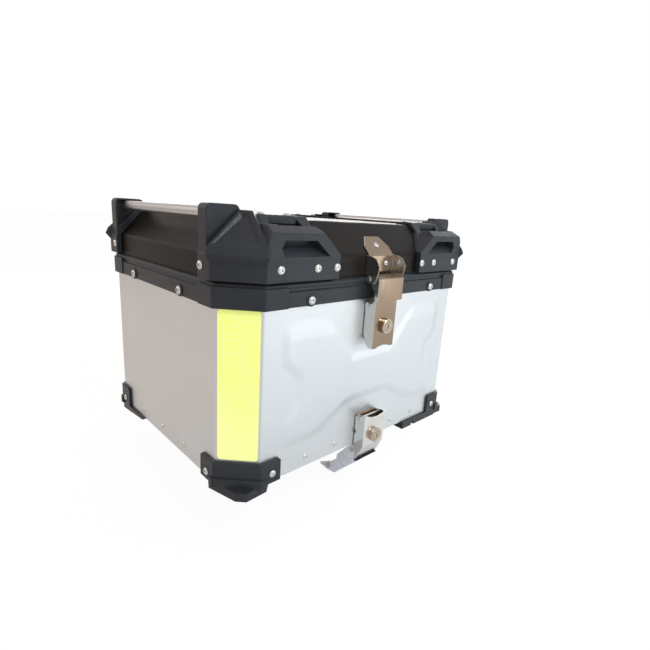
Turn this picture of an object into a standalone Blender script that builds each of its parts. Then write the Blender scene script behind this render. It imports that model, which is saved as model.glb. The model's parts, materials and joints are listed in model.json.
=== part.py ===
"""Aluminium motorcycle top case: sheet case, hinged lid with four corner protectors and two
carry rails, lockable front latch and the quick-release latch that holds it on its carrier.

Metres, +Z up, -Y is the latch side. The origin is the middle of the case's flat underside.
"""
from math import atan2, cos, pi, radians, sin, sqrt, tan

import bmesh
import bpy
from mathutils import Matrix, Vector

# ------------------------------------------------------------------ driving dimensions
GAP = 0.0003                     # clearance between touching pieces
SHEET = 0.0015                   # sheet metal
PLATE = 0.0012                   # latch steel
PAST = 0.0010                    # how far a cutter or a joined piece runs past a face
FAR = 0.0500                     # how far a cutter runs past where it leaves the piece for good

BODY_W, BODY_D = 0.426, 0.350    # case, outside the sheet
CHAMFER = 0.03626                # leg of the corner chamfers
FRONT, SIDE = BODY_W / 2 - CHAMFER, BODY_D / 2 - CHAMFER   # ends of the flat faces
SHELL_TOP = 0.2247
PAN_TOP = 0.020

RIM_LOW, RIM_TOP = 0.2047, 0.2310
RIM_OUT = 0.0032                 # rim strip, proud of the sheet
RIM_BLOCK_OUT = 0.0046           # its corner blocks
RIM_BLOCK_TOP = 0.2270
RIM_WING_X, RIM_WING_Y = 0.1485, 0.1110   # where the corner blocks end
BOSS_R, BOSS_Z, BOSS_OUT = 0.0075, 0.2110, 0.0042
BOSS_X, BOSS_Y = 0.1160, 0.0670
SCREW_R, SCREW_HEAD_R, SCREW_HEAD_H, SCREW_LENGTH = 0.0025, 0.0050, 0.0024, 0.0100
SEAL_GROOVE = 0.0027             # depth of the groove in the rim that holds the seal

LID_LOW, LID_BEND, LID_TOP = 0.2330, 0.2590, 0.2960
LID_INSET = 0.0340               # how far the sloping sides come in
TAPE_W, TAPE_LOW, TAPE_HIGH, TAPE_T = 0.0452, 0.0312, 0.2038, 0.0004

GUARD_OUT, GUARD_STEP_OUT = 0.0040, 0.0062
GUARD_TOP, GUARD_STEP_TOP, FOOT_LOW = 0.0285, 0.0090, -0.0120
GUARD_WING, GUARD_STEP_WING = 0.0270, 0.0045
GUARD_CLIP, GUARD_SINK = 0.0040, 0.0020
FOOT_OUT, FOOT_IN = 0.0152, -0.0300       # the foot's reach outside and inside the chamfer
FOOT_BACK, FOOT_FRONT = -0.0350, 0.0330   # its ends along the chamfer
FOOT_TIP = 0.0010, 0.0140                 # its blunt point, nearer the latch side
LEDGE_FALL = 0.117               # slope of the ledge over the foot
ARM_END_X, ARM_END_Y = 0.0880, 0.0600     # where the two long guards end
ARM_OUT, ARM_DEPTH = 0.0035, 0.0220
ARM_NOTCH, NOTCH_HALF, NOTCH_RISE = 0.1150, 0.0030, 0.0050
ARM_TIP, ARM_RISE = 0.0050, 0.0080        # slanting end of the side arm

COVER_OUT = 0.0075               # lid corner wall, proud of the sheet
COVER_T = 0.0050                 # its thickness on the slope
COVER_TOP = 0.3000
COVER_X, COVER_TOP_X = 0.0790, 0.1000     # inner edge at the wall and on the top
LIP_OUT, LIP_Z = 0.0135, 0.2590
FACET_OUT, FACET_Z = 0.0095, 0.2670
FACET_TOP_OUT, FACET_TOP_Z, FACET_TOP_HALF = -0.0215, 0.3030, 0.0070
PLATE_OUT_X, PLATE_IN_X = 0.2195, 0.1810
PLATE_Y, PLATE_T, PLATE_TOP, PLATE_ROUND = 0.1340, 0.0170, 0.3080, 0.0060
RAIL_X, RAIL_Z, RAIL_R = 0.2040, 0.2990, 0.0060
POCKET, POCKET_WALL = 0.0100, 0.0025      # depth of the plates' hollow side and the wall round it
LOOP_OUT, LOOP_BACK, LOOP_BAR = 0.0078, -0.1480, 0.0134    # strap loop: face, back and bar thickness
RECESS_FRONT, RECESS_BACK = -0.1690, -0.1465               # recess above the loop's bar

HINGE_Y, HINGE_Z = 0.1840, 0.2320
HINGE_X, HINGE_HALF, KNUCKLE_R, PIN_R = 0.0460, 0.0300, 0.0045, 0.0020
HINGE_SPLIT, HINGE_PLAY = 0.0140, 0.0008  # half the middle knuckle's seat and its play at each end
LEAF_T, LEAF_LOW, LEAF_HIGH = 0.0020, 0.2070, 0.2560
PIN_HEAD_R, PIN_HEAD_H = 0.0030, 0.0015

LEVER_Y, LEVER_Z = -0.1795, 0.1960        # latch lever axis
LEVER_HALF, LEVER_FACE = 0.0210, -0.1930
LEVER_LOW, LEVER_TOP = 0.1410, 0.2040
HASP_Y, HASP_Z = -0.1815, 0.2300          # hasp axis
HASP_HALF, HASP_FACE = 0.0243, -0.1980
HASP_LOW, HASP_TOP = 0.2030, 0.2320
BRACKET_HALF = 0.0262            # outside its ears
LATCH_LOCK_Z = 0.1700
RIVET_HEAD_H = 0.0010            # heads of the latches' cross pins
LATCH_BASE_HALF, LATCH_BASE_LOW, LATCH_BASE_TOP = 0.0180, 0.1500, 0.1880
BRACKET_LOW, BRACKET_BEND, BRACKET_TOP = 0.2345, 0.2586, 0.2800
FLANGE_HALF = 0.0230             # the bracket's part on the lid's slope

COVER_AXIS_Y, COVER_AXIS_Z = -0.1800, 0.0390   # release cover axis
RELEASE_HALF, RELEASE_FACE = 0.0214, -0.1925
RELEASE_LOCK_Z = 0.0160
RELEASE_BASE_HALF, RELEASE_BASE_LOW, RELEASE_BASE_TOP = 0.0179, -0.0030, 0.0440
RELEASE_TOP, GRIP_HALF = 0.0470, 0.0205
CLAW_Y, CLAW_Z = -0.1730, -0.0110
CLAW_HANG = radians(45)          # the claw hangs down when nothing is gripped
CLAW_HALF = 0.0198               # outside its arms, which pass outside the bracket
CLAW_WEB, CLAW_DEEP = (0.0140, 0.0440), 0.0155   # the web between the arms, and their depth
BAR_R, BAR_HEAD_R, BAR_PLACE = 0.0030, 0.0042, (0.0630, -0.0015)

HOOK_X, HOOK_Y, HOOK_LOW = 0.0900, 0.1150, -0.0140
HOOK_HALF, HOOK_REACH, HOOK_FOOT, HOOK_T = 0.0180, 0.0220, 0.0300, 0.0020

LOCK_R, LOCK_PROUD, LOCK_NECK_R, LOCK_CORE_R = 0.0100, 0.0060, 0.0080, 0.0059
LOCK_DEPTH = 0.0090              # from the plate to the end of a lock's neck
CAM_HALF, CAM_REACH = 0.0040, 0.0112
KEEPER_DROP, KEEPER_LIP = 0.0123, 0.0040  # shelf below the lock's axis; lip above the shelf
ROUND, SMALL_ROUND = 24, 16      # sides of round pieces

SLOPE = atan2(LID_TOP - LID_BEND, LID_INSET)
CHAMFER_PANEL = CHAMFER * sqrt(2)
MITRE = tan(pi / 8)              # widening of a chamfer face per metre outwards


# ------------------------------------------------------------------ scene and materials
def clear_scene():
    for item in list(bpy.data.objects):
        bpy.data.objects.remove(item, do_unlink=True)


def material(name, colour, rough, metal):
    made = bpy.data.materials.new(name)
    made.use_nodes = True
    shader = made.node_tree.nodes["Principled BSDF"]
    shader.inputs["Base Color"].default_value = (*colour, 1.0)
    shader.inputs["Roughness"].default_value = rough
    shader.inputs["Metallic"].default_value = metal
    made.diffuse_color = (*colour, 1.0)
    return made


def pivot(name, place, parent=None):
    """An empty on a joint's axis; what hangs on it turns with the joint."""
    empty = bpy.data.objects.new(name, None)
    bpy.context.scene.collection.objects.link(empty)
    attach(empty, place, parent)
    return empty


def attach(item, place, parent):
    item.parent = parent
    item.location = Vector(place) - (world_place(parent) if parent else Vector())


def world_place(item):
    place = Vector()
    while item:
        place += item.location
        item = item.parent
    return place


def add(name, shape, finish, parent, place=None):
    """Turn a bmesh given in world coordinates into a named object under its parent."""
    origin = world_place(parent) if place is None else Vector(place)
    bmesh.ops.translate(shape, verts=shape.verts, vec=-origin)
    bmesh.ops.recalc_face_normals(shape, faces=shape.faces)
    mesh = bpy.data.meshes.new(name)
    shape.to_mesh(mesh)
    shape.free()
    mesh.materials.append(finish)
    mesh.set_sharp_from_angle(angle=radians(30))
    item = bpy.data.objects.new(name, mesh)
    bpy.context.scene.collection.objects.link(item)
    attach(item, origin, parent)
    return item


# ------------------------------------------------------------------ solids
def loft(rings, closed=False):
    """Skin rings of equally many points; capped at both ends unless the rings close."""
    shape = bmesh.new()
    rows = [[shape.verts.new(point) for point in ring] for ring in rings]
    pairs = list(zip(rows, rows[1:]))
    if closed:
        pairs.append((rows[-1], rows[0]))
    else:
        shape.faces.new(rows[0][::-1])
        shape.faces.new(rows[-1])
    for low, high in pairs:
        for i in range(len(low)):
            j = (i + 1) % len(low)
            shape.faces.new((low[i], low[j], high[j], high[i]))
    bmesh.ops.recalc_face_normals(shape, faces=shape.faces)
    return shape


def prism(outline, low, high, axis="z"):
    """Extrude an outline along an axis; the outline holds the other two coordinates."""
    place = {
        "x": lambda point, at: (at, point[0], point[1]),
        "y": lambda point, at: (point[0], at, point[1]),
        "z": lambda point, at: (point[0], point[1], at),
    }[axis]
    return loft([[place(point, at) for point in outline] for at in (low, high)])


def box(x, y, z):
    return prism([(x[0], y[0]), (x[1], y[0]), (x[1], y[1]), (x[0], y[1])], z[0], z[1])


def circle(centre, radius, start=0.0, end=2 * pi, count=ROUND):
    """Points on an arc; a full circle leaves out its last point, which is its first."""
    whole = abs(end - start) > 2 * pi - 1e-6
    steps = count if whole else count + 1
    turn = (end - start) / count
    return [(centre[0] + radius * cos(start + turn * i), centre[1] + radius * sin(start + turn * i))
            for i in range(steps)]


def rounded(x, y, radius, count=4):
    """A rectangle's outline with round corners."""
    outline = []
    for i, (cx, cy) in enumerate(((x[1], y[1]), (x[0], y[1]), (x[0], y[0]), (x[1], y[0]))):
        centre = (cx - radius if i in (0, 3) else cx + radius, cy - radius if i < 2 else cy + radius)
        outline += circle(centre, radius, i * pi / 2, (i + 1) * pi / 2, count)
    return outline


def rod(centre, radius, low, high, axis, count=ROUND):
    return prism(circle(centre, radius, count=count), low, high, axis)


def turned(centre, profile, axis, count=ROUND):
    """A round piece: profile points are (place along the axis, radius)."""
    place = {"x": lambda p, at: (at, *p), "y": lambda p, at: (p[0], at, p[1])}[axis]
    return loft([[place(point, at) for point in circle(centre, radius, count=count)]
                 for at, radius in profile])


def combine(first, second, operation):
    """Boolean of two bmeshes; both are used up."""
    made = []
    for shape in (first, second):
        mesh = bpy.data.meshes.new("operand")
        shape.to_mesh(mesh)
        shape.free()
        item = bpy.data.objects.new("operand", mesh)
        bpy.context.scene.collection.objects.link(item)
        made.append(item)
    modifier = made[0].modifiers.new("combine", "BOOLEAN")
    modifier.operation = operation
    modifier.object = made[1]
    depsgraph = bpy.context.evaluated_depsgraph_get()
    result = bmesh.new()
    result.from_mesh(made[0].evaluated_get(depsgraph).to_mesh())
    for item in made:
        mesh = item.data
        bpy.data.objects.remove(item, do_unlink=True)
        bpy.data.meshes.remove(mesh)
    bmesh.ops.remove_doubles(result, verts=result.verts, dist=1e-6)
    return result


def union(first, *others):
    for other in others:
        first = combine(first, other, "UNION")
    return first


def cut(first, *cutters):
    for cutter in cutters:
        first = combine(first, cutter, "DIFFERENCE")
    return first


def common(first, second):
    return combine(first, second, "INTERSECT")


def mirrored(shape, sign_x, sign_y):
    """A copy of a front-left piece for another corner."""
    copy = shape.copy()
    bmesh.ops.scale(copy, verts=copy.verts, vec=(sign_x, sign_y, 1.0))
    if sign_x * sign_y < 0:
        bmesh.ops.reverse_faces(copy, faces=copy.faces)
    return copy


def turn_about_x(shape, place, angle):
    bmesh.ops.rotate(shape, verts=shape.verts, cent=(0.0, *place), matrix=Matrix.Rotation(angle, 3, "X"))
    return shape


# ------------------------------------------------------------------ plan of the case
def plan(out):
    """The case's eight-sided plan, a distance outside its sheet."""
    x, y = BODY_W / 2 + out, BODY_D / 2 + out
    leg = CHAMFER + (2 - sqrt(2)) * out
    return [(-x + leg, -y), (x - leg, -y), (x, -y + leg), (x, y - leg),
            (x - leg, y), (-x + leg, y), (-x, y - leg), (-x, -y + leg)]


def ring(profile):
    """Sweep a closed section of (distance outside the sheet, height) round the case."""
    return loft([[(x, y, z) for x, y in plan(out)] for out, z in profile], closed=True)


def lid_out(z, thickness=0.0):
    """Where the lid's slope, thickened outwards, lies at a height."""
    return -(z - LID_BEND) / tan(SLOPE) + thickness / sin(SLOPE)


def lid_block(thickness, wall, low, top):
    """The lid's outer shape, thickened, as a solid block."""
    bend = LID_BEND + (thickness / sin(SLOPE) - wall) * tan(SLOPE)
    levels = ((wall, low), (wall, bend), (lid_out(top, thickness), top))
    return loft([[(x, y, z) for x, y in plan(out)] for out, z in levels])


def corner_band(inner, outer, wing_x, wing_y, low, high):
    """A band round the front-left chamfer with a wing along each side."""
    def edge(out):
        shape = plan(out)
        return [(-BODY_W / 2 - out, -wing_y), shape[7], shape[0], (-wing_x, -BODY_D / 2 - out)]
    return prism(edge(outer) + edge(inner)[::-1], low, high)


def chamfer_point(out, side, z):
    """A point given outwards from, along and up the front-left chamfer."""
    middle = Vector((-BODY_W / 2 + CHAMFER / 2, -BODY_D / 2 + CHAMFER / 2, z))
    return middle + Vector((side - out, -side - out, 0.0)) / sqrt(2)


def chamfer_loft(levels):
    """Loft across the front-left chamfer; a level is (inner out, outer out, half width, height)."""
    return loft([[chamfer_point(near, -half, z), chamfer_point(near, half, z),
                  chamfer_point(far, half, z), chamfer_point(far, -half, z)]
                 for near, far, half, z in levels])


CORNERS = (("front_left", 1, 1), ("front_right", -1, 1), ("back_left", 1, -1), ("back_right", -1, -1))


# ------------------------------------------------------------------ case
def body_shell(finish, parent):
    profile = ((0.0, 0.0), (0.0, SHELL_TOP), (-SHEET, SHELL_TOP), (-SHEET, 0.0))
    add("body_shell", drill_rim(ring(profile)), finish, parent)


def bottom_pan(finish, parent):
    outer, inner = plan(-SHEET - GAP), plan(-2 * SHEET - GAP)
    levels = ((outer, 0.0), (outer, PAN_TOP), (inner, PAN_TOP), (inner, SHEET))
    add("bottom_pan", loft([[(x, y, z) for x, y in line] for line, z in levels]), finish, parent)


def rim_screw_places():
    """Centre and outward axis of the eight rim screws."""
    for side in (-1, 1):
        for end in (-1, 1):
            yield (side * BOSS_X, end * BODY_D / 2), "y", end
            yield (side * BODY_W / 2, end * BOSS_Y), "x", side


def screw_rod(place, axis, sign, radius, low, high):
    """A rod on a rim screw's axis between two distances outside the sheet."""
    face = place[1] if axis == "y" else place[0]
    centre = (place[0], BOSS_Z) if axis == "y" else (place[1], BOSS_Z)
    ends = sorted((face + sign * low, face + sign * high))
    return rod(centre, radius, ends[0], ends[1], axis, SMALL_ROUND)


def drill_rim(shape):
    for place, axis, sign in rim_screw_places():
        shape = cut(shape, screw_rod(place, axis, sign, SCREW_R + GAP, -FAR / 2, FAR / 2))
    return shape


def rim_frame(finish, parent):
    profile = ((GAP, RIM_LOW), (RIM_OUT, RIM_LOW), (RIM_OUT, 0.2213), (0.0012, 0.2225),
               (0.0012, 0.2255), (0.0022, 0.2262), (0.0022, 0.2295), (0.0012, RIM_TOP),
               (-0.0003, RIM_TOP), (-0.0003, RIM_TOP - SEAL_GROOVE), (-0.0047, RIM_TOP - SEAL_GROOVE),
               (-0.0047, RIM_TOP), (-0.0065, RIM_TOP), (-0.0065, RIM_LOW + 0.0013),
               (-SHEET - GAP, RIM_LOW + 0.0013), (-SHEET - GAP, SHELL_TOP + GAP),
               (GAP, SHELL_TOP + GAP))
    shape = ring(profile)
    block = corner_band(0.0008, RIM_BLOCK_OUT, RIM_WING_X, RIM_WING_Y, RIM_LOW - 0.0004, RIM_BLOCK_TOP)
    for _, sign_x, sign_y in CORNERS:
        shape = union(shape, mirrored(block, sign_x, sign_y))
    block.free()
    for place, axis, sign in rim_screw_places():
        shape = union(shape, screw_rod(place, axis, sign, BOSS_R, 0.0006, BOSS_OUT))
    add("rim_frame", drill_rim(shape), finish, parent)


def rim_screws(finish, parent):
    for number, (place, axis, sign) in enumerate(rim_screw_places(), 1):
        shank = screw_rod(place, axis, sign, SCREW_R, -SCREW_LENGTH, BOSS_OUT + GAP + PAST / 2)
        head = screw_rod(place, axis, sign, SCREW_HEAD_R, BOSS_OUT + GAP, BOSS_OUT + GAP + SCREW_HEAD_H)
        add(f"rim_screw_{number}", union(shank, head), finish, parent)


def rim_seal(finish, parent):
    low, top = RIM_TOP - SEAL_GROOVE + GAP, LID_LOW - GAP
    profile = ((-0.0006, low), (-0.0006, RIM_TOP), (-0.0014, top), (-0.0036, top),
               (-0.0044, RIM_TOP), (-0.0044, low))
    add("rim_seal", ring(profile), finish, parent)


def guard_band():
    """The thin band of a foot guard, its wings' upper corners cut off."""
    band = corner_band(GAP, GUARD_OUT, FRONT - GUARD_WING, SIDE - GUARD_WING, -GAP, GUARD_TOP)
    for axis, end, face in (("y", FRONT - GUARD_WING, BODY_D / 2), ("x", SIDE - GUARD_WING, BODY_W / 2)):
        clip = [(-end + PAST, GUARD_TOP - GUARD_CLIP), (-end + PAST, GUARD_TOP + PAST),
                (-end - GUARD_CLIP, GUARD_TOP + PAST)]
        band = cut(band, prism(clip, -face - GUARD_STEP_OUT, -face + GUARD_STEP_OUT, axis))
    return band


def guard_foot():
    """The three-sided foot under a corner, with a ledge that falls away outwards."""
    outline = ((FOOT_IN, FOOT_BACK), (-GUARD_STEP_OUT, FOOT_BACK), (FOOT_OUT, FOOT_TIP[0]),
               (FOOT_OUT, FOOT_TIP[1]), (-GUARD_STEP_OUT, FOOT_FRONT), (FOOT_IN, FOOT_FRONT))
    foot = loft([[chamfer_point(out, side, z) for out, side in outline] for z in (FOOT_LOW, -GAP)])
    reach = 2 * FOOT_OUT
    above = [(0.0, GAP), (reach, -LEDGE_FALL * reach), (reach, reach), (0.0, reach)]
    shave = loft([[chamfer_point(out, side, z) for out, z in above] for side in (-2 * reach, 2 * reach)])
    return cut(foot, shave)


def foot_guards(finish, parent):
    step = corner_band(GAP, GUARD_STEP_OUT, FRONT - GUARD_STEP_WING, SIDE - GUARD_STEP_WING,
                       -GAP - GUARD_SINK, GUARD_STEP_TOP)
    guard = union(guard_band(), step, guard_foot())
    for name, sign_x, sign_y in CORNERS:
        shape = mirrored(guard, sign_x, sign_y)
        if name == "front_right":
            face = -BODY_D / 2 - ARM_OUT
            arm = box((ARM_END_X, FRONT), (face, face + ARM_DEPTH), (FOOT_LOW, -GAP))
            notch = box((ARM_NOTCH - NOTCH_HALF, ARM_NOTCH + NOTCH_HALF),
                        (face - PAST, face + ARM_DEPTH + PAST), (FOOT_LOW - PAST, FOOT_LOW + NOTCH_RISE))
            shape = union(shape, cut(arm, notch))
        if name == "back_left":
            face = -BODY_W / 2 - ARM_OUT
            outline = [(ARM_END_Y, -GAP), (SIDE, -GAP), (SIDE, FOOT_LOW),
                       (ARM_END_Y + ARM_TIP, FOOT_LOW + ARM_RISE)]
            shape = union(shape, prism(outline, face, face + ARM_DEPTH, "x"))
        add(f"foot_guard_{name}", shape, finish, parent)
    guard.free()


def reflectors(finish, parent):
    outline = rounded((-TAPE_W / 2, TAPE_W / 2), (TAPE_LOW, TAPE_HIGH), 0.0035)
    tape = loft([[chamfer_point(out, side, z) for side, z in outline] for out in (GAP, GAP + TAPE_T)])
    for name, sign_x, sign_y in CORNERS:
        add(f"reflector_{name}", mirrored(tape, sign_x, sign_y), finish, parent)
    tape.free()


# ------------------------------------------------------------------ lid
def lid_shell(finish, parent):
    inner_top = LID_TOP - SHEET
    inner_bend = LID_BEND - SHEET * tan(SLOPE / 2)
    levels = ((lid_out(inner_top, -SHEET), inner_top), (-SHEET, inner_bend), (-SHEET, LID_LOW),
              (0.0, LID_LOW), (0.0, LID_BEND), (-LID_INSET, LID_TOP))
    add("lid_shell", loft([[(x, y, z) for x, y in plan(out)] for out, z in levels]), finish, parent)


def lid_lip(finish, parent):
    """The moulded lip inside the lid's edge, which presses on the seal."""
    outer, inner = -SHEET - GAP, -0.0048
    profile = ((outer, LID_LOW), (outer, LID_LOW + 0.012), (outer - 0.0015, LID_LOW + 0.012),
               (outer - 0.0015, LID_LOW + 0.0015), (inner, LID_LOW + 0.0015), (inner, LID_LOW))
    add("lid_lip", ring(profile), finish, parent)


def strap_loop():
    """The bridge on the front of a lid corner that a strap is passed behind."""
    face = -BODY_D / 2 - LOOP_OUT
    outline = [(-0.1790, 0.2545), (-0.0784, 0.2545), (-0.0784, 0.2955), (-0.1700, 0.2955), (-0.1790, 0.2750)]
    block = prism(outline, face, LOOP_BACK, "y")
    bar_top = [(face - PAST, 0.2830), (face + 0.0135, 0.2910), (LOOP_BACK + PAST, 0.2910),
               (LOOP_BACK + PAST, 0.3200), (face - PAST, 0.3200)]
    block = cut(block, prism(bar_top, -0.2500, 0.0, "x"))
    shoulder = [(-0.0700, 0.2560), (-0.0700, 0.3100), (-0.1200, 0.3100), (-0.1040, 0.2830), (-0.0800, 0.2620)]
    block = cut(block, prism(shoulder, face - PAST, LOOP_BACK + PAST, "y"))
    window = [(-0.1580, 0.2595), (-0.0960, 0.2595), (-0.1150, 0.2755), (-0.1580, 0.2755), (-0.1625, 0.2680)]
    block = cut(block, prism(window, face - PAST, face + LOOP_BAR, "y"))
    behind = [(-0.1600, 0.2595), (-0.0980, 0.2595), (-0.1130, 0.3100), (-0.1600, 0.3100)]
    return cut(block, prism(behind, face + LOOP_BAR - PAST, LOOP_BACK + PAST, "y"))


def strap_recess():
    """Cutter for the recess in the cover above the loop's bar, where a strap comes out."""
    outline = [(-0.1570, 0.2840), (-0.1105, 0.2840), (-0.1185, 0.2985), (-0.1570, 0.2985)]
    return prism(outline, RECESS_FRONT, RECESS_BACK, "y")


def rail_plate():
    """The upright plate that holds a carry rail, hollow on the rail's side."""
    outline = rounded((-PLATE_OUT_X, -PLATE_IN_X), (LID_LOW, PLATE_TOP), PLATE_ROUND)
    inner = -PLATE_Y + PLATE_T
    plate = prism(outline, -PLATE_Y, inner, "y")
    outer_x, inner_x, top = -PLATE_OUT_X + POCKET_WALL, -PLATE_IN_X - POCKET_WALL, PLATE_TOP - POCKET_WALL
    hollow = [(outer_x, 0.2700), (inner_x, 0.3020), (inner_x, top), (outer_x, top)]
    return cut(plate, prism(hollow, inner - POCKET, inner + PAST, "y"))


def lid_corner():
    """Front-left protector: wall, sloping cover, raised facet, strap loop and rail plate."""
    cover = lid_block(COVER_T, COVER_OUT, LID_LOW, COVER_TOP)
    keep = [(-0.30, 0.20), (-COVER_X, 0.20), (-COVER_X, 0.2620), (-COVER_TOP_X, 0.2860),
            (-COVER_TOP_X, 0.32), (-0.30, 0.32)]
    cover = common(cover, prism(keep, -0.30, -PLATE_Y + PLATE_T, "y"))
    half = CHAMFER_PANEL / 2
    lip_half = half + MITRE * LIP_OUT
    facet = chamfer_loft(((-0.0060, COVER_OUT - 0.0010, half, 0.2490),
                          (-0.0060, COVER_OUT + 0.0002, half + MITRE * COVER_OUT, 0.2512),
                          (-0.0120, LIP_OUT, lip_half, LIP_Z),
                          (-0.0200, FACET_OUT, lip_half, FACET_Z),
                          (-0.0500, FACET_TOP_OUT, FACET_TOP_HALF, FACET_TOP_Z)))
    shape = union(cover, facet, strap_loop(), rail_plate())
    return cut(shape, strap_recess(), lid_block(GAP, GAP, LID_LOW - FAR, LID_TOP + GAP))


def lid_corners(finish, parent):
    corner = lid_corner()
    for name, sign_x, sign_y in CORNERS:
        add(f"lid_corner_{name}", mirrored(corner, sign_x, sign_y), finish, parent)
    corner.free()


def carry_rails(finish, parent):
    end = PLATE_Y - PLATE_T + POCKET - GAP
    for name, side in (("left", -1), ("right", 1)):
        add(f"carry_rail_{name}", rod((side * RAIL_X, RAIL_Z), RAIL_R, -end, end, "y"), finish, parent)


# ------------------------------------------------------------------ hinges
def hinge_bore(x, radius):
    return rod((HINGE_Y, HINGE_Z), radius, x - FAR, x + FAR, "x", SMALL_ROUND)


def hinge_leaf_body(x):
    """The case's leaf with the two outer knuckles."""
    face = BODY_D / 2
    back = face + RIM_OUT + GAP
    leaf = box((x - HINGE_HALF, x + HINGE_HALF), (back, back + LEAF_T), (LEAF_LOW, HINGE_Z))
    for sign in (-1, 1):
        ends = sorted((x + sign * HINGE_SPLIT, x + sign * HINGE_HALF))
        leaf = union(leaf, rod((HINGE_Y, HINGE_Z), KNUCKLE_R, *ends, "x", SMALL_ROUND))
    seat = HINGE_SPLIT + GAP
    room = box((x - seat, x + seat), (face, face + FAR), (HINGE_Z - KNUCKLE_R - PAST, HINGE_Z + FAR))
    return cut(leaf, room, hinge_bore(x, PIN_R + GAP))


def hinge_leaf_lid(x):
    """The lid's leaf with the middle knuckle; beside the knuckle it stays flat on the lid."""
    face, half, top = BODY_D / 2 + GAP, HINGE_SPLIT - HINGE_PLAY, HINGE_Z + KNUCKLE_R
    outline = [(face, LID_LOW + 0.0015), (HINGE_Y, top - 0.0015), (HINGE_Y, top),
               (face + LEAF_T, top + PAST), (face + LEAF_T, LEAF_HIGH), (face, LEAF_HIGH)]
    leaf = prism(outline, x - HINGE_HALF, x + HINGE_HALF, "x")
    for sign in (-1, 1):
        ends = sorted((x + sign * half, x + sign * (half + FAR)))
        leaf = cut(leaf, box(ends, (face + LEAF_T + 0.0002, face + FAR), (LEAF_LOW, top + 4 * PAST)))
    middle = rod((HINGE_Y, HINGE_Z), KNUCKLE_R, x - half, x + half, "x", SMALL_ROUND)
    return cut(union(leaf, middle), hinge_bore(x, PIN_R + GAP))


def hinge(name, side, case, lid, steel):
    """Body leaf with two outer knuckles, lid leaf with the middle one, and the pin."""
    x = side * HINGE_X
    add(f"hinge_leaf_body_{name}", hinge_leaf_body(x), steel, case)
    add(f"hinge_leaf_lid_{name}", hinge_leaf_lid(x), steel, lid)
    reach = HINGE_HALF + GAP
    profile = ((-reach - PIN_HEAD_H, PIN_HEAD_R), (-reach, PIN_HEAD_R), (-reach, PIN_R),
               (reach, PIN_R), (reach, PIN_HEAD_R), (reach + PIN_HEAD_H, PIN_HEAD_R))
    pin = turned((HINGE_Y, HINGE_Z), [(x + at, radius) for at, radius in profile], "x", SMALL_ROUND)
    add(f"hinge_pin_{name}", pin, steel, case)


# ------------------------------------------------------------------ latch pieces
def cross_pin(place, reach, radius, head):
    """A riveted pin across a latch, with a flat head at each end."""
    profile = ((-reach - RIVET_HEAD_H, head), (-reach, head), (-reach, radius),
               (reach, radius), (reach, head), (reach + RIVET_HEAD_H, head))
    return turned(place, profile, "x", SMALL_ROUND)


def side_walls(outline, inner, outer):
    return [prism(outline, *sorted((sign * inner, sign * outer)), "x") for sign in (-1, 1)]


def cross_hole(place, radius):
    return rod(place, radius, -FAR, FAR, "x", SMALL_ROUND)


def lock_hole(z, face):
    """Cutter for the hole in a latch plate that a lock's neck passes through."""
    return rod((0.0, z), LOCK_NECK_R + GAP, face - PAST, face + PLATE + PAST, "y")


def lock_barrel(z, face):
    """The fixed body of a lock: collar outside the plate, neck and nut inside it."""
    neck_end = face + PLATE + LOCK_DEPTH
    profile = ((face - LOCK_PROUD, LOCK_R - 0.0008), (face - LOCK_PROUD + 0.0008, LOCK_R),
               (face - GAP, LOCK_R), (face - GAP, LOCK_NECK_R), (neck_end, LOCK_NECK_R))
    barrel = turned((0.0, z), profile, "y")
    return cut(barrel, rod((0.0, z), LOCK_CORE_R + GAP, face - FAR, face + FAR, "y"))


def lock_core(z, face):
    """The turning key cylinder; its cam points aside when unlocked and down when locked."""
    front = face - LOCK_PROUD - 0.0002
    back = face + PLATE + LOCK_DEPTH + GAP
    core = rod((0.0, z), LOCK_CORE_R, front, back + 0.0010, "y")
    keyway = box((-0.0008, 0.0008), (front - 0.001, front + 0.004), (z - 0.0035, z + 0.0035))
    cam = box((-CAM_HALF, CAM_REACH), (back + 0.0002, back + 0.0017), (z - CAM_HALF, z + CAM_HALF))
    return union(cut(core, keyway), cam)


def keeper(z, face, mount_y, half):
    """The shelf with a lip that a lock's cam catches behind."""
    lip = face + PLATE + LOCK_DEPTH - GAP
    top = z - KEEPER_DROP
    outline = [(mount_y, top - PLATE), (lip - SHEET, top - PLATE), (lip - SHEET, top + KEEPER_LIP),
               (lip, top + KEEPER_LIP), (lip, top), (mount_y, top)]
    return prism(outline, -half, half, "x")


def latch_base(finish, parent):
    half = LATCH_BASE_HALF
    back, front = -BODY_D / 2 - GAP, -BODY_D / 2 - GAP - SHEET
    plate = box((-half, half), (front, back), (LATCH_BASE_LOW, LATCH_BASE_TOP))
    radius = 0.0042
    ear = [(back, LATCH_BASE_LOW), (back, 0.1930)]
    ear += circle((LEVER_Y, LEVER_Z), radius, 0.0, pi, 8)
    ear += [(LEVER_Y - radius, 0.1850), (-0.1860, 0.1800), (-0.1860, LATCH_BASE_LOW)]
    shape = union(plate, *side_walls(ear, half - SHEET, half))
    shape = union(shape, keeper(LATCH_LOCK_Z, LEVER_FACE, back, half - 0.0005))
    add("latch_base", cut(shape, cross_hole((LEVER_Y, LEVER_Z), PIN_R + GAP)), finish, parent)
    pin = cross_pin((LEVER_Y, LEVER_Z), LEVER_HALF + GAP, PIN_R, 0.0032)
    add("latch_lever_pin", pin, finish, parent)


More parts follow.
